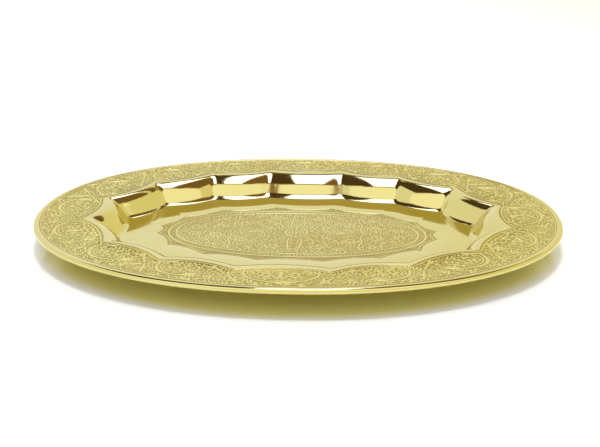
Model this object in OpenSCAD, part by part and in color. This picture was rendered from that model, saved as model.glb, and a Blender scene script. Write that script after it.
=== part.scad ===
// Oval brass serving tray. One brass sheet is pressed into a flat floor, a fluted wall and a wide
// flat rim, and its edge is rolled over a steel wire that keeps the rim stiff.
// Millimetres, Z up, long side along X, resting on z = 0 with the middle of the floor at the origin.

/* [Tray] */
// Length over the rolled edge
tray_length = 350; // [200:1:600]
// Width over the rolled edge
tray_width = 264; // [150:1:450]
// Squareness of the outline, where 2 is a true ellipse
outline_power = 2.11; // [2:0.01:3]
// Thickness of the brass sheet
sheet = 0.8; // [0.4:0.1:1.5]
// Height of the rim's upper face above the table, where it leaves the wall
rim_height = 15.5; // [8:0.1:40]
// How much the rim climbs from the wall to the rolled edge
rim_rise = 2; // [0:0.1:6]

/* [Well] */
// Length between the end corners of the flutes, at the rim
well_length = 287.8; // [150:0.1:500]
// Width between the side corners of the flutes, at the rim
well_width = 207; // [100:0.1:400]
// Length of the floor between the same corners
floor_length = 244; // [120:0.1:460]
// Width of the floor between the same corners
floor_width = 148; // [80:0.1:360]
// Squareness of the floor's outline
floor_power = 2.35; // [2:0.01:3]
// Turns of the corners between flutes around one quarter of the oval, in degrees
flute_corners = [12.5, 37.6, 59.5, 79.1];
// How far each flute bulges into the well at the rim
flute_bulge_rim = 5; // [0:0.1:10]
// How far each flute bulges into the well at the floor
flute_bulge_floor = 2.5; // [0:0.1:6]

/* [Wall] */
// Steepest slope of the wall, in degrees
wall_slope = 50; // [30:1:75]
// Inside radius where the wall meets the floor
foot_radius = 8; // [2:0.5:10]
// Radius of the shoulder where the wall meets the rim
shoulder_radius = 18.5; // [4:0.5:20]

/* [Rolled edge] */
// Thickness of the stiffening wire
wire_size = 1.9; // [1:0.1:4]
// Gap left between the wire and the brass rolled over it
wire_gap = 0.05; // [0.02:0.01:0.2]
// Turn at which the rolled brass stops behind the wire, in degrees
roll_end = -205; // [-212:1:-150]

/* [Hidden] */
flute_steps = 8;
foot_steps = 3;
shoulder_steps = 5;
roll_steps = 12;
wire_sides = 8;
per_quarter = len(flute_corners);
flutes = 4 * per_quarter;
stations = flutes * flute_steps;
tray_half = [tray_length, tray_width] / 2;
well_half = [well_length, well_width] / 2;
floor_half = [floor_length, floor_width] / 2;
roll_inner = wire_size / 2 + wire_gap;
roll_outer = roll_inner + sheet;
wire_height = rim_height + rim_rise - roll_outer;
wall_depth = rim_height - sheet;
curve_drop = (foot_radius + shoulder_radius) * (1 - cos(wall_slope));
curve_run = (foot_radius + shoulder_radius) * sin(wall_slope);
wall_run = curve_run + (wall_depth - curve_drop) / tan(wall_slope);
// The turn at which both faces of the climbing rim run into the rolled edge
roll_start = 94;

function signed_power(v, p) = sign(v) * pow(abs(v), p);

function oval(half, power, turn) = [
    half.x * signed_power(cos(turn), 2 / power),
    half.y * signed_power(sin(turn), 2 / power)
];

// The oval's outward direction, square to its edge
function oval_normal(half, power, turn) =
    let (
        steepness = 2 * (power - 1) / power,
        slope = [signed_power(cos(turn), steepness) / half.x, signed_power(sin(turn), steepness) / half.y]
    )
    slope / norm(slope);

function corner_turn(k) =
    let (lap = floor(k / flutes), m = k - lap * flutes, quarter = floor(m / per_quarter), j = m % per_quarter)
    360 * lap + (
        quarter % 2 == 0
        ? 90 * quarter + flute_corners[j]
        : 90 * (quarter + 1) - flute_corners[per_quarter - 1 - j]
    );

// One point of a line made of arcs that bulge inwards between corners set on an oval
function fluted(half, power, bulge, station) =
    let (
        k = floor(station / flute_steps),
        q = station / flute_steps - k,
        a = oval(half, power, corner_turn(k)),
        b = oval(half, power, corner_turn(k + 1)),
        across = (b - a) / norm(b - a),
        outward = [across.y, -across.x]
    )
    a + q * (b - a) - outward * bulge * 4 * q * (1 - q);

function station_turn(station) =
    let (k = floor(station / flute_steps), q = station / flute_steps - k)
    (1 - q) * corner_turn(k) + q * corner_turn(k + 1);

function steps(from, to, count) = [for (i = [0:count]) from + (to - from) * i / count];

function foot_line(station) = fluted(floor_half, floor_power, flute_bulge_floor, station);

// The wall and floor curves of one face of the sheet, as [reach, height], for a face that lies
// some depth below the upper one
function foot_curve(depth) = [
    for (a = steps(0, wall_slope, foot_steps))
    [(foot_radius + depth) * sin(a), sheet + foot_radius - (foot_radius + depth) * cos(a)]
];

function shoulder_curve(depth) = [
    for (a = steps(wall_slope, 0, shoulder_steps))
    [wall_run - (shoulder_radius - depth) * sin(a), rim_height - shoulder_radius + (shoulder_radius - depth) * cos(a)]
];

function reversed(list) = [for (i = [len(list) - 1:-1:0]) list[i]];

wall_upper = concat(foot_curve(0), shoulder_curve(0));
wall_lower = reversed(concat(foot_curve(sheet), shoulder_curve(sheet)));
roll_skin = [for (a = steps(roll_start, roll_end, roll_steps)) roll_outer * [cos(a), sin(a)]];
roll_hollow = [for (a = steps(roll_end, roll_start, roll_steps)) roll_inner * [cos(a), sin(a)]];

// The sheet's cross-section at one station, from the floor's edge out and back again
function pan_section(station) =
    let (
        foot = foot_line(station),
        top = fluted(well_half, 2, flute_bulge_rim, station),
        turn = station_turn(station),
        outward = oval_normal(tray_half, outline_power, turn),
        wire = oval(tray_half, outline_power, turn) - outward * roll_outer
    )
    concat(
        [for (p = wall_upper) [each (foot + (top - foot) * p.x / wall_run), p.y]],
        [for (p = roll_skin) [each (wire + outward * p.x), wire_height + p.y]],
        [for (p = roll_hollow) [each (wire + outward * p.x), wire_height + p.y]],
        [for (p = wall_lower) [each (foot + (top - foot) * p.x / wall_run), p.y]]
    );

function wire_section(station) =
    let (
        turn = station_turn(station),
        outward = oval_normal(tray_half, outline_power, turn),
        wire = oval(tray_half, outline_power, turn) - outward * roll_outer
    )
    [
        for (i = [0:wire_sides - 1])
        let (a = -360 * i / wire_sides)
        [each (wire + outward * wire_size / 2 * cos(a)), wire_height + wire_size / 2 * sin(a)]
    ];

// The two triangles between neighbouring points j and k of stations i and the one after it
function strip(i, j, k, size) =
    let (
        next = (i + 1) % stations,
        a = i * size + j,
        b = i * size + k,
        c = next * size + k,
        d = next * size + j
    )
    [[a, b, c], [a, c, d]];

module tray_pan() {
    sections = [for (i = [0:stations - 1]) pan_section(i)];
    size = len(sections[0]);
    upper_middle = stations * size;
    lower_middle = upper_middle + 1;
    color([0.86, 0.75, 0.42])
        polyhedron(
            points = concat([for (s = sections) each s], [[0, 0, sheet], [0, 0, 0]]),
            faces = concat(
                [for (i = [0:stations - 1], j = [0:size - 2]) each strip(i, j, j + 1, size)],
                [for (i = [0:stations - 1]) [upper_middle, i * size, (i + 1) % stations * size]],
                [for (i = [0:stations - 1]) [lower_middle, (i + 1) % stations * size + size - 1, i * size + size - 1]]
            )
        );
}

module edge_wire() {
    sections = [for (i = [0:stations - 1]) wire_section(i)];
    color([0.55, 0.56, 0.58])
        polyhedron(
            points = [for (s = sections) each s],
            faces = [
                for (i = [0:stations - 1], j = [0:wire_sides - 1])
                each strip(i, j, (j + 1) % wire_sides, wire_sides)
            ]
        );
}

tray_pan();
edge_wire();
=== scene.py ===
import math
import random

import bmesh
import bpy
from mathutils import Matrix, Vector


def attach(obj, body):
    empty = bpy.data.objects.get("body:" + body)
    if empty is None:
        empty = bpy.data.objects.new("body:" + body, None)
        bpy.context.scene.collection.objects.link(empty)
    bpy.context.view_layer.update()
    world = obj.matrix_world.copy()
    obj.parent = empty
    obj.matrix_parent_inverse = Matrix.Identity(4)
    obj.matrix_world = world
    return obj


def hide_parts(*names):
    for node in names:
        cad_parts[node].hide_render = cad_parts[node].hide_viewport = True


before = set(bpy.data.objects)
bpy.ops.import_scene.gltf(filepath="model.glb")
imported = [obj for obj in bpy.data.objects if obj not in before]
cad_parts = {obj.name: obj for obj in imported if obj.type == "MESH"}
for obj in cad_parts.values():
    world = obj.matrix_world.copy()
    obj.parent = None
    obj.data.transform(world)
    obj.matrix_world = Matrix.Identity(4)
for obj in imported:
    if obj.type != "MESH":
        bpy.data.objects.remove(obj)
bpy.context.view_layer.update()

# ---------------------------------------------------------------------------------------------
# The pan. One sheet of brass 0.8 mm thick is pressed into a flat floor, sixteen flutes and a wide
# rim, and its edge is rolled over a wire. The rim and the middle of the floor are etched back a
# little between plain polished borders, so the ornament left standing is nearly as high as the borders.
# ---------------------------------------------------------------------------------------------
MM = 0.001
SHEET = 0.8
RIM_TOP = 15.5
EDGE_RISE = 2.0
ETCH = 0.1
WALL_SLOPE = math.radians(50)
FOOT_RADIUS = 8.0
SHOULDER_RADIUS = 18.5
WIRE_RADIUS = 0.95
ROLL_INNER = 1.0
ROLL_OUTER = ROLL_INNER + SHEET
ROLL_START = 94
ROLL_END = -205
WIRE_TOP = RIM_TOP + EDGE_RISE - ROLL_OUTER
# Ovals: half length, half width and power; a line of flutes adds how far its arcs bulge inwards.
OUTLINE = (175, 132, 2.11)
WELL_LINE = (143.9, 103.5, 2.0, 5.0)
FOOT_LINE = (122.0, 74.0, 2.35, 2.5)
PANEL_LINE = (96.5, 52.5, 2.1, 2.4)
CORNERS = [12.5, 37.6, 59.5, 79.1]
PANEL_CORNERS = [7.2, 30.5, 54.2, 78.5]


def round_the_oval(quarter):
    """The turns, in degrees, of the corners of one quarter and of its three mirror images."""
    half = quarter + [180 - t for t in reversed(quarter)]
    return half + [180 + t for t in half]


CORNER_TURNS = round_the_oval(CORNERS)
PANEL_TURNS = round_the_oval(PANEL_CORNERS)
FLUTES = len(CORNER_TURNS)
FLUTE_STEPS = 20
STATIONS = FLUTES * FLUTE_STEPS


def oval(half_x, half_y, power, turn):
    c, s = math.cos(turn), math.sin(turn)
    return Vector(
        (
            math.copysign(half_x * abs(c) ** (2 / power), c),
            math.copysign(half_y * abs(s) ** (2 / power), s),
        )
    )


def corner_turn(k, turns=CORNER_TURNS):
    return math.radians(turns[k % FLUTES] + 360 * (k // FLUTES))


def sharp_flute(half_x, half_y, power, bulge, where, turns):
    """A line of arcs that bulge inwards between corners on an oval; where counts flutes."""
    k = math.floor(where)
    q = where - k
    a = oval(half_x, half_y, power, corner_turn(k, turns))
    b = oval(half_x, half_y, power, corner_turn(k + 1, turns))
    along = (b - a).normalized()
    return a.lerp(b, q) - Vector((along.y, -along.x)) * bulge * 4 * q * (1 - q)


def flute_line(half_x, half_y, power, bulge, where, soft=0.011, turns=CORNER_TURNS):
    """The same line with its corners eased, as a press tool leaves them."""
    total = Vector((0, 0))
    for step in (-2, -1, 0, 1, 2):
        total += sharp_flute(half_x, half_y, power, bulge, where + step * soft, turns)
    return total / 5


def wall_top(where, soft=0.011):
    return flute_line(*WELL_LINE, where, soft)


def wall_foot(where):
    return flute_line(*FOOT_LINE, where, 0.03)


def panel_edge(where):
    return flute_line(*PANEL_LINE, where, 0.006, PANEL_TURNS)


def oval_turn(where):
    """The turn on the oval, in radians, at a place counted in flutes."""
    k = math.floor(where)
    return (1 - where + k) * corner_turn(k) + (where - k) * corner_turn(k + 1)


def rim_outward(where):
    """The direction square to the tray's outline, level with the table."""
    turn = oval_turn(where)
    half_x, half_y, power = OUTLINE
    fade = 2 * (power - 1) / power
    c, s = math.cos(turn), math.sin(turn)
    slope = (math.copysign(abs(c) ** fade / half_x, c), math.copysign(abs(s) ** fade / half_y, s))
    return Vector(slope).normalized()


def wire_line(where):
    return oval(*OUTLINE, oval_turn(where)) - rim_outward(where) * ROLL_OUTER


PLAIN_INSIDE = 0.8
PLAIN_OUTSIDE = 2.0


def etched_inside(where):
    return wall_top(where) + rim_outward(where) * PLAIN_INSIDE


def etched_outside(where):
    return wire_line(where) - rim_outward(where) * PLAIN_OUTSIDE


def rim_row(inner, outer, share, depth=0.0):
    """A row on the rim, which climbs a little on its way from the wall to the edge."""

    def row(where):
        spot = inner(where).lerp(outer(where), share)
        start, end = wall_top(where), wire_line(where)
        climb = EDGE_RISE * (spot - start).length / (end - start).length
        return (*spot, RIM_TOP + climb - depth)

    return row


def between(inner, outer, share, height):
    return lambda where: (*inner(where).lerp(outer(where), share), height)


def wall_point(reach, height):
    return lambda where: (*wall_foot(where).lerp(wall_top(where, 0.026), reach), height)


def off_wire(reach, height):
    return lambda where: (*(wire_line(where) + rim_outward(where) * reach), height)


def centre(where):
    return Vector((0, 0))


def wall_rows(depth):
    """Rows up the fluted wall, for a face that lies some depth under the upper one."""
    drop = (FOOT_RADIUS + SHOULDER_RADIUS) * (1 - math.cos(WALL_SLOPE))
    run = (FOOT_RADIUS + SHOULDER_RADIUS) * math.sin(WALL_SLOPE)
    run += (RIM_TOP - SHEET - drop) / math.tan(WALL_SLOPE)
    rows = []
    r = FOOT_RADIUS + depth
    for i in range(11):
        a = WALL_SLOPE * i / 10
        rows.append(wall_point(r * math.sin(a) / run, SHEET + FOOT_RADIUS - r * math.cos(a)))
    r = SHOULDER_RADIUS - depth
    for i in range(17):
        a = WALL_SLOPE * (1 - i / 16)
        height = RIM_TOP - SHOULDER_RADIUS + r * math.cos(a)
        rows.append(wall_point(1 - r * math.sin(a) / run, height))
    return rows


def roll_rows(radius, first, last, count):
    rows = []
    for i in range(count + 1):
        a = math.radians(first + (last - first) * i / count)
        rows.append(off_wire(radius * math.cos(a), WIRE_TOP + radius * math.sin(a)))
    return rows


def lay_rows(bm, rows):
    """Extrudes a ring of edges outwards row by row; each row says where its points lie."""
    station = bm.verts.layers.int.new("station")
    ring = bmesh.ops.create_circle(bm, cap_ends=False, segments=STATIONS, radius=1)["verts"]
    for vert in ring:
        turn = math.atan2(vert.co.y, vert.co.x) % (2 * math.pi)
        vert[station] = round(turn / (2 * math.pi) * STATIONS) % STATIONS
    spots = [
        i // FLUTE_STEPS + 0.5 - 0.5 * math.cos(math.pi * (i % FLUTE_STEPS) / FLUTE_STEPS)
        for i in range(STATIONS)
    ]
    edges = list(bm.edges)
    strips = []
    for number, row in enumerate(rows):
        if number:
            grown = bmesh.ops.extrude_edge_only(bm, edges=edges)["geom"]
            ring = [g for g in grown if isinstance(g, bmesh.types.BMVert)]
            edges = [
                g
                for g in grown
                if isinstance(g, bmesh.types.BMEdge) and all(v in set(g.verts) & set(ring) for v in g.verts)
            ]
            strips.append([g for g in grown if isinstance(g, bmesh.types.BMFace)])
        for vert in ring:
            vert.co = Vector(row(spots[vert[station]])) * MM
    return edges, strips


etched_floor = SHEET - ETCH
floor_rows = [
    between(centre, panel_edge, 0.05, etched_floor),
    between(centre, panel_edge, 0.5, etched_floor),
    between(centre, panel_edge, 0.997, etched_floor),
    between(centre, panel_edge, 1.0, SHEET - 0.02),
    between(centre, panel_edge, 1.0015, SHEET),
    between(panel_edge, wall_foot, 0.5, SHEET),
    between(panel_edge, wall_foot, 0.97, SHEET),
]
rim_rows = [
    rim_row(wall_top, etched_inside, 0.3),
    rim_row(wall_top, etched_inside, 0.97),
    rim_row(wall_top, etched_inside, 0.985, 0.02),
    rim_row(wall_top, etched_inside, 1.01, ETCH),
    rim_row(etched_inside, etched_outside, 0.5, ETCH),
    rim_row(etched_inside, etched_outside, 0.997, ETCH),
    rim_row(etched_outside, wire_line, 0.01, 0.02),
    rim_row(etched_outside, wire_line, 0.026),
    rim_row(etched_outside, wire_line, 0.7),
]
inside_wall = wall_rows(0)
pan_rows = floor_rows + inside_wall + rim_rows
pan_rows += roll_rows(ROLL_OUTER, ROLL_START, ROLL_END, 34)
pan_rows += roll_rows(ROLL_INNER, ROLL_END, ROLL_START, 22)
pan_rows += [rim_row(wall_top, wire_line, 0.5, SHEET)]
pan_rows += reversed(wall_rows(SHEET))
pan_rows += [between(centre, wall_foot, 0.985, 0), between(centre, wall_foot, 0.05, 0)]

bm = bmesh.new()
last_ring, strips = lay_rows(bm, pan_rows)
first_ring = [e for e in bm.edges if e.is_boundary and e not in set(last_ring)]
caps = bmesh.ops.edgeloop_fill(bm, edges=first_ring)["faces"]
bmesh.ops.edgeloop_fill(bm, edges=last_ring)
for face in bm.faces:
    face.smooth = True
for face in caps:
    face.material_index = 1
    face.smooth = False
rim_ground = len(floor_rows) + len(inside_wall) + 3
for number, index in ((0, 1), (1, 1), (rim_ground, 2), (rim_ground + 1, 2)):
    for face in strips[number]:
        face.material_index = index
bmesh.ops.recalc_face_normals(bm, faces=bm.faces)


def mesh_of(bm, name):
    mesh = bpy.data.meshes.new(name)
    bm.to_mesh(mesh)
    bm.free()
    return mesh


def piece_of(bm, name):
    """An object of its own, made from a finished bmesh."""
    piece = bpy.data.objects.new(name, mesh_of(bm, name))
    bpy.context.collection.objects.link(piece)
    return piece


pan = piece_of(bm, "brass_pan")


def new_group(name, inputs, outputs):
    group = bpy.data.node_groups.new(name, "ShaderNodeTree")
    for title, value in inputs.items():
        socket = group.interface.new_socket(title, in_out="INPUT", socket_type="NodeSocketFloat")
        socket.default_value = value
    for title, kind in outputs.items():
        group.interface.new_socket(title, in_out="OUTPUT", socket_type=kind)
    nodes = group.nodes
    return group, nodes.new("NodeGroupInput"), nodes.new("NodeGroupOutput")


def noise(tree, coordinates, scale, detail=2.0, stretch=None, turn=0.0):
    node = tree.nodes.new("ShaderNodeTexNoise")
    node.inputs["Scale"].default_value = scale
    node.inputs["Detail"].default_value = detail
    if stretch:
        mapping = tree.nodes.new("ShaderNodeMapping")
        mapping.inputs["Scale"].default_value = stretch
        mapping.inputs["Rotation"].default_value = (0, 0, turn)
        tree.links.new(coordinates, mapping.inputs["Vector"])
        coordinates = mapping.outputs["Vector"]
    tree.links.new(coordinates, node.inputs["Vector"])
    return node.outputs["Fac"]


def levels(tree, value, low, high, out_low=0.0, out_high=1.0):
    node = tree.nodes.new("ShaderNodeMapRange")
    for socket, number in zip(node.inputs[1:5], (low, high, out_low, out_high)):
        socket.default_value = number
    tree.links.new(value, node.inputs["Value"])
    return node.outputs["Result"]


def sum_of(tree, a, b, weight):
    node = tree.nodes.new("ShaderNodeMath")
    node.operation = "MULTIPLY_ADD"
    tree.links.new(b, node.inputs[0])
    node.inputs[1].default_value = weight
    tree.links.new(a, node.inputs[2])
    return node.outputs[0]


# Polishing and handling leave soft smudges and hair-fine scratches on every brass face.
polish_marks, _, marks_out = new_group(
    "polish_marks",
    {},
    {"Smudge": "NodeSocketFloat", "Scratch": "NodeSocketFloat"},
)
coordinates = polish_marks.nodes.new("ShaderNodeTexCoord").outputs["Object"]
smudge = noise(polish_marks, coordinates, 26, 4)
fine = noise(polish_marks, coordinates, 140, 3)
polish_marks.links.new(
    levels(polish_marks, sum_of(polish_marks, smudge, fine, 0.35), 0.5, 0.9),
    marks_out.inputs["Smudge"],
)
one_way = noise(polish_marks, coordinates, 60, 2, (1.5, 60, 60), 0.35)
other_way = noise(polish_marks, coordinates, 60, 2, (60, 1.8, 60), -0.2)
polish_marks.links.new(
    sum_of(
        polish_marks,
        levels(polish_marks, one_way, 0.62, 0.72),
        levels(polish_marks, other_way, 0.64, 0.74),
        1.0,
    ),
    marks_out.inputs["Scratch"],
)


def brass(name, bright, deep, rough_low, rough_high, grain=0.0):
    """Brass with a smudged finish; grain adds the pitted ground that etching leaves."""
    material = bpy.data.materials.new(name)
    material.use_nodes = True
    tree = material.node_tree
    shader = tree.nodes["Principled BSDF"]
    shader.inputs["Metallic"].default_value = 1.0
    marks = tree.nodes.new("ShaderNodeGroup")
    marks.node_tree = polish_marks
    tint = tree.nodes.new("ShaderNodeMix")
    tint.data_type = "RGBA"
    tint.inputs["A"].default_value = (*bright, 1)
    tint.inputs["B"].default_value = (*deep, 1)
    roughness = levels(tree, marks.outputs["Smudge"], 0, 1, rough_low, rough_high)
    tree.links.new(roughness, shader.inputs["Roughness"])
    bump = tree.nodes.new("ShaderNodeBump")
    if grain:
        object_place = tree.nodes.new("ShaderNodeTexCoord").outputs["Object"]
        pits = noise(tree, object_place, 2300, 2)
        tree.links.new(levels(tree, pits, 0.35, 0.65), tint.inputs["Factor"])
        tree.links.new(pits, bump.inputs["Height"])
        bump.inputs["Distance"].default_value = 0.00012
        bump.inputs["Strength"].default_value = grain
    else:
        tree.links.new(levels(tree, marks.outputs["Smudge"], 0, 1, 0, 0.55), tint.inputs["Factor"])
        tree.links.new(marks.outputs["Scratch"], bump.inputs["Height"])
        bump.inputs["Distance"].default_value = 0.000004
        bump.inputs["Strength"].default_value = 0.35
        bump.invert = True
    tree.links.new(tint.outputs["Result"], shader.inputs["Base Color"])
    tree.links.new(bump.outputs["Normal"], shader.inputs["Normal"])
    return material


polished = brass("polished_brass", (0.69, 0.61, 0.235), (0.65, 0.56, 0.19), 0.05, 0.11)
etched = brass("etched_brass", (0.58, 0.485, 0.13), (0.42, 0.34, 0.073), 0.34, 0.44, 0.7)
# Etched brass for the rim, made yellower than the floor's: the extra warmth is a painted warm reflection.
rim_etched_painted_reflection = brass("rim_etched_brass_painted_warm_reflection", (0.555, 0.455, 0.092), (0.40, 0.315, 0.052), 0.34, 0.44, 0.7)
pan.data.materials.append(polished)
pan.data.materials.append(etched)
pan.data.materials.append(rim_etched_painted_reflection)
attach(pan, "root")
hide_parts("tray_pan")

# ---------------------------------------------------------------------------------------------
# The rim's ornament. The pattern is drawn on the brass with a resist before etching, so its bands,
# scrolls and leaves stay at the height of the plain borders: one cartouche for each flute, framed
# by two arcs, and a rosette in the corner between each pair.
# ---------------------------------------------------------------------------------------------
SINK = 0.04
SIDE_RUN = 0.12
TOP_STEP = 0.004
TOP_STEPS = 8


def stroke(bm, points, widths, grounds=None):
    """A flat-topped band along some points, in millimetres, with a half-width at each."""
    count = len(points) - 1
    # Bands that cross differ by a few microns in height, so that no two tops share a plane.
    lift = TOP_STEP * (round(abs(points[0].x * 37 + points[0].y * 91)) % TOP_STEPS)
    looped = (points[0] - points[-1]).length < 0.01
    if not looped:
        widths = [0, *widths[1:-1], 0]
    for vert in bmesh.ops.create_grid(bm, x_segments=count, y_segments=4, size=1)["verts"]:
        i = round((vert.co.x + 1) / 2 * count)
        side = round((vert.co.y + 1) / 2 * 4) % 4
        before, after = points[max(i - 1, 0)], points[min(i + 1, count)]
        if looped and i in (0, count):
            before, after = points[-2], points[1]
        along = (after - before).normalized()
        top = max(widths[i] - SIDE_RUN, 0.35 * widths[i])
        reach = (-widths[i], -top, top, widths[i])[side]
        height = 0 if side in (0, 3) else ETCH * min(1, widths[i] / 0.1)
        spot = points[i] + Vector((-along.y, along.x)) * reach
        ground = grounds[i] if grounds else 0
        vert.co = (spot.x, spot.y, ground + height + lift - SINK)


def dot(bm, spot, radius):
    place = Matrix.Translation((spot.x, spot.y, ETCH / 2 - 0.02))
    bmesh.ops.create_cone(
        bm, cap_ends=True, segments=7, radius1=radius, radius2=radius * 0.6, depth=ETCH, matrix=place
    )


def leaf(spot, aim, length, width, bend=0.5):
    """A pointed leaf from a spot; it turns by bend radians on its way to the tip."""
    points, steps = [spot.copy()], 4
    for i in range(steps):
        a = aim + bend * i / steps
        points.append(points[-1] + Vector((math.cos(a), math.sin(a))) * length / steps)
    return points, [width * w for w in (0, 0.9, 1, 0.65, 0)]


def scroll(middle, outer, inner, start, turns, hand, leaf_size=1.0):
    """A coiled stem with leaves on both sides."""
    steps = max(8, int(abs(turns) * 18))
    stem, widths, made = [], [], []
    for i in range(steps + 1):
        q = i / steps
        a = start + hand * turns * 2 * math.pi * q
        r = outer + (inner - outer) * q**0.85
        stem.append(middle + Vector((math.cos(a), math.sin(a))) * r)
        widths.append(0.52 * (1 - 0.3 * q) * min(1, 6 * q + 0.1) * min(1, 8 * (1 - q) + 0.3))
    made.append((stem, widths))
    for i in range(2, steps - 2, 3):
        away = (stem[i] - middle).normalized()
        along = (stem[i + 1] - stem[i - 1]).normalized()
        q = i / steps
        size = leaf_size * (1.9 - 0.8 * q)
        aim = math.atan2(*(away + along * 0.9).yx)
        made.append(leaf(stem[i] + away * 0.2, aim, size, 0.6, hand * 0.9))
        if q < 0.62:
            aim = math.atan2(*(-away * 0.8 + along).yx)
            made.append(leaf(stem[i] - away * 0.2, aim, size * 0.7, 0.5, -hand * 0.6))
    return made


def curve(points, widths, steps=14):
    """A smooth stem through a few points."""
    spots, sizes = [], []
    padded = [points[0], *points, points[-1]]
    for i in range(1, len(points)):
        a, b, c, d = (Vector(p) for p in padded[i - 1 : i + 3])
        for j in range(steps):
            q = j / steps
            bend = (2 * a - 5 * b + 4 * c - d) * q**2 + (3 * b - a - 3 * c + d) * q**3
            spots.append(0.5 * (2 * b + (c - a) * q + bend))
            sizes.append(widths[i - 1] + (widths[i] - widths[i - 1]) * q)
    return spots + [Vector(points[-1])], sizes + [widths[-1]]


def flipped(lines, x=-1, y=1):
    return [([Vector((p.x * x, p.y * y)) for p in points], widths) for points, widths in lines]


def fill_gaps(lines, inside, low, high, gap, tries, seed):
    """Small leaves and seeds wherever the drawing still leaves bare ground."""
    pick = random.Random(seed)
    cells = {}

    def crowded(spot, distance):
        cx, cy = int(spot.x // 2), int(spot.y // 2)
        for i in (cx - 1, cx, cx + 1):
            for j in (cy - 1, cy, cy + 1):
                for taken, radius in cells.get((i, j), ()):
                    if (taken - spot).length < distance + radius:
                        return True
        return False

    def take(points, widths):
        for point, width in zip(points, widths):
            cells.setdefault((int(point.x // 2), int(point.y // 2)), []).append((point, width))

    for points, widths in lines:
        take(points, widths)
    made, dots = [], []
    for _ in range(tries):
        spot = Vector((pick.uniform(low[0], high[0]), pick.uniform(low[1], high[1])))
        if not inside(spot) or crowded(spot, gap):
            continue
        aim = pick.uniform(0, 2 * math.pi)
        tip = spot + Vector((math.cos(aim), math.sin(aim))) * 1.6
        if inside(tip) and not crowded(tip, gap * 0.8):
            grown = leaf(spot, aim, 2.3, 0.68, pick.choice((-0.9, 0.9)))
            made.append(grown)
            take(*grown)
        else:
            dots.append((spot, 0.6))
            take([spot], [0.6])
    return made, dots


# One cartouche is drawn flat, in a cell from -CELL to CELL across and 0 to CELL_DEPTH outwards.
CELL = 24.5
CELL_DEPTH = 20.0
LENS_HALF = 18.4
LENS_FOOT = 1.0
LENS_RISE = 14.6
LENS_STEPS = 44


def lens_point(turn):
    """A point on the arch that frames the cartouche, from its left foot to its right one."""
    x = -LENS_HALF * math.cos(turn)
    return Vector((x, LENS_FOOT + LENS_RISE * math.sqrt(max(0, 1 - (x / LENS_HALF) ** 2))))


lens = [lens_point(math.pi * i / LENS_STEPS) for i in range(LENS_STEPS + 1)]
inner_lens = [Vector((p.x * 0.9, LENS_FOOT + (p.y - LENS_FOOT) * 0.9)) for p in lens]
frame_lines = [(lens, [0.62] * len(lens)), (inner_lens, [0.3] * len(lens))]
tie = [Vector((-CELL, 7.2)).lerp(Vector((-10.5, 1.2)), i / 10) for i in range(11)]
half_lines = [([Vector((-p.x, p.y)) for p in tie], [0.55] * 11)]
outer_tie = [Vector((CELL, 7.2)).lerp(Vector((CELL - 10.5, 18.6)), i / 10) for i in range(11)]
half_lines += [(outer_tie, [0.55] * 11)]
half_lines += scroll(Vector((6.0, 7.6)), 3.4, 0.6, math.radians(200), 1.4, -1, 1.25)
half_lines += scroll(Vector((12.4, 5.0)), 2.5, 0.6, math.radians(150), 1.1, 1, 1.0)
half_lines += [curve([(0.4, 3.4), (2.0, 3.6), (3.2, 5.8)], [0.1, 0.5, 0.4], 5)]
half_lines += [leaf(Vector((0.4, 9.6)), math.radians(70), 3.6, 0.75, -0.6)]
half_lines += scroll(Vector((18.2, 14.6)), 2.2, 0.5, math.radians(80), 1.2, -1, 1.0)
half_lines += scroll(Vector((9.0, 17.3)), 1.4, 0.5, math.radians(10), 0.9, 1, 0.8)
half_lines += [curve([(0.5, 17.9), (4.0, 16.9), (7.6, 18.6), (13.0, 17.6)], [0.1, 0.45, 0.4, 0.1], 5)]
middle_leaf = [([Vector((0, 3.4 + 8.2 * i / 6)) for i in range(7)], [0, 0.7, 1.0, 0.9, 0.7, 0.4, 0])]


def free_in_cell(p):
    if not 0.5 < abs(p.x) < CELL - 0.4 or not 2.2 < p.y < 18.6:
        return False
    return Vector((CELL - abs(p.x), p.y - 14.0)).length > 4.0


cell_lines = frame_lines + half_lines + flipped(half_lines) + middle_leaf
extra, cell_dots = fill_gaps(
    frame_lines + half_lines + middle_leaf, free_in_cell, (0.4, 2), (CELL, 19), 0.62, 5000, 4
)
cell_lines += extra + flipped(extra)
cell_dots += [(Vector((-p.x, p.y)), r) for p, r in cell_dots]

bm = bmesh.new()
for points, widths in cell_lines:
    stroke(bm, points, widths)
for spot, radius in cell_dots:
    dot(bm, spot, radius)
bmesh.ops.remove_doubles(bm, verts=bm.verts, dist=0.002)
cell_mesh = mesh_of(bm, "cartouche")

TABLE_STEPS = 64
on_inside = rim_row(etched_inside, etched_outside, 0, ETCH)
on_outside = rim_row(etched_inside, etched_outside, 1, ETCH)
table_spots = [i / TABLE_STEPS for i in range(-TABLE_STEPS, TABLE_STEPS * (FLUTES + 2))]
inner_table = [Vector(on_inside(where)) for where in table_spots]
outer_table = [Vector(on_outside(where)) for where in table_spots]


def on_rim(where, share):
    i = math.floor(where * TABLE_STEPS)
    q = where * TABLE_STEPS - i
    i += TABLE_STEPS
    inner = inner_table[i].lerp(inner_table[i + 1], q)
    return inner.lerp(outer_table[i].lerp(outer_table[i + 1], q), share)


bm = bmesh.new()
for flute in range(FLUTES):
    first = len(bm.verts)
    bm.from_mesh(cell_mesh)
    bm.verts.ensure_lookup_table()
    for vert in bm.verts[first:]:
        x, y, z = vert.co
        vert.co = on_rim(flute + 0.5 + x / (2 * CELL), y / CELL_DEPTH)
        vert.co.z += z
for share, width in ((0.055, 0.5), (0.962, 0.4)):
    ring = [on_rim(i / 32 % FLUTES, share) for i in range(32 * FLUTES + 1)]
    stroke(bm, [p.xy for p in ring], [width] * len(ring), [p.z for p in ring])

# The rosette beyond each corner: two rings round a boss, with petals between them.
def spoke(turn):
    return Vector((math.cos(turn), math.sin(turn)))


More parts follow.
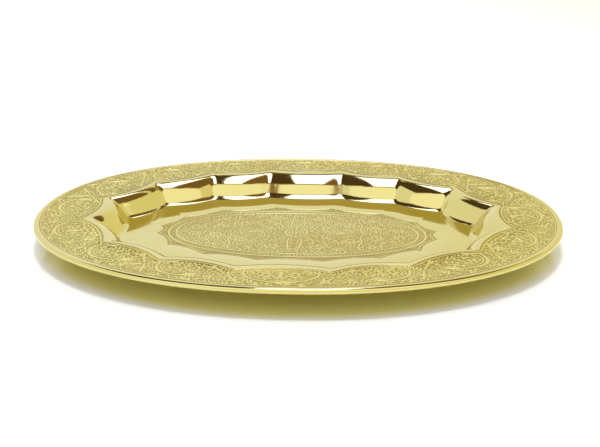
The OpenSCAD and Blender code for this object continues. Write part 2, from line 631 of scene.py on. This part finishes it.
rosette = bmesh.new()
for radius, steps, width in ((3.3, 28, 0.5), (1.6, 18, 0.34)):
    ring = [spoke(2 * math.pi * i / steps) * radius for i in range(steps + 1)]
    stroke(rosette, ring, [width] * len(ring))
dot(rosette, Vector((0, 0)), 0.8)
for i in range(8):
    a = 2 * math.pi * i / 8
    stroke(rosette, *leaf(spoke(a) * 2.05, a, 1.25, 0.36, 0))
bmesh.ops.remove_doubles(rosette, verts=rosette.verts, dist=0.002)
rosette_mesh = mesh_of(rosette, "rosette")
for corner in range(FLUTES):
    first = len(bm.verts)
    bm.from_mesh(rosette_mesh)
    bm.verts.ensure_lookup_table()
    middle = on_rim(corner, 0.69)
    across_rim = on_rim(corner, 1) - on_rim(corner, 0)
    outward = rim_outward(corner)
    climb = across_rim.z / across_rim.xy.length
    for vert in bm.verts[first:]:
        x, y, z = vert.co
        spot = middle.xy + outward * y + Vector((outward.y, -outward.x)) * x
        vert.co = (*spot, middle.z + climb * y + z)
bmesh.ops.scale(bm, vec=(MM, MM, MM), verts=bm.verts)
bmesh.ops.remove_doubles(bm, verts=bm.verts, dist=0.000003)
bmesh.ops.recalc_face_normals(bm, faces=bm.faces)
rim_ornament = piece_of(bm, "rim_ornament")
# Raised brass for the rim, made yellower than the floor's: the extra warmth is a painted warm reflection.
rim_raised_painted_reflection = brass("rim_raised_brass_painted_warm_reflection", (0.72, 0.63, 0.17), (0.645, 0.545, 0.125), 0.14, 0.24)
rim_ornament.data.materials.append(rim_raised_painted_reflection)
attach(rim_ornament, "root")

# ---------------------------------------------------------------------------------------------
# The floor's ornament. It is etched in the same way: a rosette in the middle, stems and scrolls
# around it, two bright ovals with a row of beads between them, and a line inside the pointed edge.
# ---------------------------------------------------------------------------------------------
def oval_ring(half_x, half_y, power, steps):
    return [oval(half_x, half_y, power, 2 * math.pi * i / steps) for i in range(steps + 1)]


quarter = []
stems = (
    ((1.4, 9.6), (4.6, 15.0), (4.0, 26.0), (1.7, 37.0)),
    ((9.4, 0.6), (17.5, 5.5), (23.0, 11.5), (28.3, 16.5), (30.5, 25.0)),
    ((7.2, 6.6), (12.0, 14.5), (20.0, 19.5), (23.5, 29.0)),
    ((21.0, 8.6), (22.5, 2.6), (32.0, 1.0), (38.5, 3.6), (44.0, 1.2)),
    ((44.4, 31.0), (42.6, 24.0), (44.8, 16.0), (44.0, 8.0), (45.8, 1.0)),
    ((37.0, 33.5), (40.5, 28.5)),
    ((58.5, 28.0), (57.0, 21.0), (61.5, 15.0), (69.0, 15.0)),
)
for points in stems:
    quarter += [curve(points, [0.2, *[0.54] * (len(points) - 2), 0.15], 8)]
quarter += scroll(Vector((54.0, 7.4)), 6.2, 0.9, math.radians(190), 1.7, -1, 1.9)
quarter += scroll(Vector((14.2, 26.5)), 5.4, 0.9, math.radians(300), 1.4, 1, 1.8)
quarter += scroll(Vector((36.4, 14.4)), 5.4, 0.9, math.radians(200), 1.5, -1, 1.8)
quarter += scroll(Vector((70.5, 6.6)), 4.6, 0.9, math.radians(120), 1.4, 1, 1.7)
quarter += scroll(Vector((51.0, 25.5)), 3.6, 0.8, math.radians(230), 1.2, 1, 1.5)
quarter += scroll(Vector((30.2, 31.0)), 2.8, 0.8, math.radians(20), 1.1, -1, 1.3)


def free_on_floor(p):
    return (
        p.x > 0.35
        and p.y > 0.35
        and (p.x / 81.6) ** 2.1 + (p.y / 38.2) ** 2.1 < 1
        and p.length > 9.4
    )


extra, seeds = fill_gaps(quarter, free_on_floor, (0.3, 0.3), (82, 39), 0.72, 16000, 9)
quarter += extra
bm = bmesh.new()
for points, widths in quarter:
    stroke(bm, points, widths)
for spot, radius in seeds:
    dot(bm, spot, radius)
bmesh.ops.remove_doubles(bm, verts=bm.verts, dist=0.002)
for axis in ("X", "Y"):
    bmesh.ops.mirror(bm, geom=bm.verts[:] + bm.edges[:] + bm.faces[:], merge_dist=0, axis=axis)
bright_ovals = [(oval_ring(83.0, 39.6, 2.1, 240), 0.62), (oval_ring(88.0, 44.4, 2.1, 240), 0.65)]
middle_rings = [(7.6, 8.6, 0.6), (4.8, 5.2, 0.4), (2.9, 2.9, 0.45)]
for ring, width in bright_ovals + [(oval_ring(x, y, 2, 48), w) for x, y, w in middle_rings]:
    stroke(bm, ring, [width] * len(ring))
edge_steps = 24 * FLUTES
edge_ring = [panel_edge(i / 24) * 0.974 for i in range(edge_steps + 1)]
stroke(bm, edge_ring, [0.34] * len(edge_ring))
BEAD_PITCH = 2.3
bead_line = oval_ring(85.5, 42.0, 2.1, 720)
walk, beads = 0.0, 0
for p, q in zip(bead_line, bead_line[1:]):
    walk += (q - p).length
    if walk > BEAD_PITCH * beads:
        dot(bm, q, 0.62)
        beads += 1
dot(bm, Vector((0, 0)), 1.3)
for i in range(12):
    a = 2 * math.pi * i / 12
    stroke(bm, *leaf(spoke(a) * 5.2, a, 2.2, 0.55, 0))
bmesh.ops.translate(bm, vec=(0, 0, etched_floor), verts=bm.verts)
bmesh.ops.scale(bm, vec=(MM, MM, MM), verts=bm.verts)
bmesh.ops.remove_doubles(bm, verts=bm.verts, dist=0.000003)
bmesh.ops.recalc_face_normals(bm, faces=bm.faces)
floor_ornament = piece_of(bm, "floor_ornament")
raised = brass("raised_brass", (0.78, 0.69, 0.26), (0.70, 0.60, 0.19), 0.14, 0.24)
floor_ornament.data.materials.append(raised)
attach(floor_ornament, "root")

# ---------------------------------------------------------------------------------------------
# The wire. A ring of drawn steel 1.9 mm thick lies inside the rolled edge and stiffens the rim.
# The brass closes round it up to a slit of a hair's width under the rim.
# ---------------------------------------------------------------------------------------------
bm = bmesh.new()
wire_rows = roll_rows(WIRE_RADIUS, 0, 360, 14)
lay_rows(bm, wire_rows)
bmesh.ops.remove_doubles(bm, verts=bm.verts, dist=1e-7)
for face in bm.faces:
    face.smooth = True
bmesh.ops.recalc_face_normals(bm, faces=bm.faces)
wire = piece_of(bm, "steel_wire")
steel = bpy.data.materials.new("drawn_steel")
steel.use_nodes = True
steel_shader = steel.node_tree.nodes["Principled BSDF"]
steel_shader.inputs["Metallic"].default_value = 1.0
steel_marks = steel.node_tree.nodes.new("ShaderNodeGroup")
steel_marks.node_tree = polish_marks
steel_tint = steel.node_tree.nodes.new("ShaderNodeMix")
steel_tint.data_type = "RGBA"
steel_tint.inputs["A"].default_value = (0.46, 0.46, 0.47, 1)
steel_tint.inputs["B"].default_value = (0.30, 0.28, 0.26, 1)
steel.node_tree.links.new(steel_marks.outputs["Smudge"], steel_tint.inputs["Factor"])
steel.node_tree.links.new(steel_tint.outputs["Result"], steel_shader.inputs["Base Color"])
steel_rough = levels(steel.node_tree, steel_marks.outputs["Smudge"], 0, 1, 0.3, 0.5)
steel.node_tree.links.new(steel_rough, steel_shader.inputs["Roughness"])
wire.data.materials.append(steel)
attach(wire, "root")
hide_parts("edge_wire")

# ---------------------------------------------------------------------------------------------
# The surface under the tray and the light around it. The table is plain and pale with a faint
# gloss, painted yellow under the tray for the light that brass throws down; soft boxes and dark
# cards hang over it, as round any polished metal in a studio.
# ---------------------------------------------------------------------------------------------
bm = bmesh.new()
bmesh.ops.create_grid(bm, x_segments=2, y_segments=2, size=6)
table_top = piece_of(bm, "table_top")
table_paint = bpy.data.materials.new("pale_table")
table_paint.use_nodes = True
table_shader = table_paint.node_tree.nodes["Principled BSDF"]
table_tree = table_paint.node_tree
under = table_tree.nodes.new("ShaderNodeMapping")
under.inputs["Scale"].default_value = (1 / (OUTLINE[0] * MM), 1 / (OUTLINE[1] * MM), 0)
table_place = table_tree.nodes.new("ShaderNodeTexCoord").outputs["Object"]
table_tree.links.new(table_place, under.inputs["Vector"])
reach = table_tree.nodes.new("ShaderNodeVectorMath")
reach.operation = "LENGTH"
table_tree.links.new(under.outputs["Vector"], reach.inputs[0])
table_tint = table_tree.nodes.new("ShaderNodeMix")
table_tint.data_type = "RGBA"
table_tint.inputs["A"].default_value = (0.93, 0.87, 0.33, 1)
table_tint.inputs["B"].default_value = (0.93, 0.93, 0.93, 1)
table_tree.links.new(levels(table_tree, reach.outputs["Value"], 0.95, 1.02), table_tint.inputs["Factor"])
table_tree.links.new(table_tint.outputs["Result"], table_shader.inputs["Base Color"])
table_shader.inputs["Roughness"].default_value = 0.12
table_shader.inputs["IOR"].default_value = 1.45
table_top.data.materials.append(table_paint)

world = bpy.data.worlds.new("studio")
bpy.context.scene.world = world
world.use_nodes = True
sky = world.node_tree
seen = sky.nodes["Background"]
seen.inputs["Strength"].default_value = 1.05
# The room is plain white, and grows warmer towards the tray's right end.
toward = sky.nodes.new("ShaderNodeSeparateXYZ")
sky.links.new(sky.nodes.new("ShaderNodeTexCoord").outputs["Generated"], toward.inputs["Vector"])
warmer = sky.nodes.new("ShaderNodeMix")
warmer.data_type = "RGBA"
warmer.inputs["A"].default_value = (1, 1, 1, 1)
warmer.inputs["B"].default_value = (0.95, 0.90, 0.62, 1)
sky.links.new(levels(sky, toward.outputs["X"], -0.08, 0.36), warmer.inputs["Factor"])
sky.links.new(warmer.outputs["Result"], seen.inputs["Color"])
lit = sky.nodes.new("ShaderNodeBackground")
lit.inputs["Color"].default_value = (1, 1, 1, 1)
lit.inputs["Strength"].default_value = 1.12
path = sky.nodes.new("ShaderNodeLightPath")
choose = sky.nodes.new("ShaderNodeMixShader")
sky.links.new(path.outputs["Is Diffuse Ray"], choose.inputs["Fac"])
sky.links.new(seen.outputs["Background"], choose.inputs[1])
sky.links.new(lit.outputs["Background"], choose.inputs[2])
sky.links.new(choose.outputs["Shader"], sky.nodes["World Output"].inputs["Surface"])


CARD_HEIGHT = 3.0


def card(name, x, y, colour, strength):
    """A level studio card that only mirrors show; a second mirror sees it as pale brass."""
    bm = bmesh.new()
    bmesh.ops.create_grid(bm, x_segments=1, y_segments=1, size=0.5)
    bmesh.ops.scale(bm, vec=(x[1] - x[0], y[1] - y[0], 1), verts=bm.verts)
    bmesh.ops.translate(bm, vec=(sum(x) / 2, sum(y) / 2, CARD_HEIGHT), verts=bm.verts)
    piece = piece_of(bm, name)
    paint = bpy.data.materials.new(name)
    paint.use_nodes = True
    nodes = paint.node_tree.nodes
    nodes.remove(nodes["Principled BSDF"])
    glow = nodes.new("ShaderNodeEmission")
    glow.inputs["Color"].default_value = (*colour, 1)
    glow.inputs["Strength"].default_value = strength
    links = paint.node_tree.links
    second = nodes.new("ShaderNodeEmission")
    second.inputs["Color"].default_value = (0.74, 0.66, 0.38, 1)
    deeper = nodes.new("ShaderNodeMath")
    deeper.operation = "GREATER_THAN"
    deeper.inputs[1].default_value = 1.5
    links.new(nodes.new("ShaderNodeLightPath").outputs["Glossy Depth"], deeper.inputs[0])
    pick = nodes.new("ShaderNodeMixShader")
    links.new(deeper.outputs["Value"], pick.inputs["Fac"])
    links.new(glow.outputs["Emission"], pick.inputs[1])
    links.new(second.outputs["Emission"], pick.inputs[2])
    links.new(pick.outputs["Shader"], nodes["Material Output"].inputs["Surface"])
    piece.data.materials.append(paint)
    piece.visible_camera = False
    piece.visible_diffuse = False
    piece.visible_shadow = False


# Each card's span in x and in y, in metres, then its colour and its strength.
brown = (0.40, 0.24, 0.09)
card("soft_box", (-0.48, 0.36), (-0.60, 2.9), (0.95, 1.0, 1.8), 2.8)
card("dark_card", (-2.5, -0.48), (-0.60, 2.9), brown, 0.22)
card("brown_card", (0.36, 2.6), (-0.60, 2.4), brown, 0.6)
card("brown_strip", (-1.1, 1.1), (-0.85, -0.60), brown, 0.8)
card("front_box", (-4.2, 4.2), (-5.2, -0.85), (1, 1, 1), 1.3)
card("back_bar", (-0.9, 2.9), (2.9, 4.0), brown, 0.5)

key_data = bpy.data.lights.new("key", "AREA")
key_data.shape = "DISK"
key_data.size = 0.5
key_data.energy = 26
key = bpy.data.objects.new("key", key_data)
bpy.context.collection.objects.link(key)
key.location = (0.03, 0.06, 2.6)
key.rotation_mode = "QUATERNION"
key.rotation_quaternion = (-key.location).to_track_quat("-Z", "Y")
key.visible_glossy = False

camera_data = bpy.data.cameras.new("camera")
camera = bpy.data.objects.new("camera", camera_data)
bpy.context.collection.objects.link(camera)
camera_data.sensor_width = 36
camera_data.lens = 48.96
camera_data.clip_start = 0.02
camera.location = (0.0424, -0.5232, 0.1959)
look = Vector((0.0025, 0.0002, 0.0071)) - camera.location
turn_in_frame = Matrix.Rotation(math.radians(-0.21), 4, "Z")
camera.rotation_mode = "QUATERNION"
aim = look.to_track_quat("-Z", "Y").to_matrix().to_4x4()
camera.rotation_quaternion = (aim @ turn_in_frame).to_quaternion()
bpy.context.scene.camera = camera
bpy.context.scene.view_settings.view_transform = "Standard"
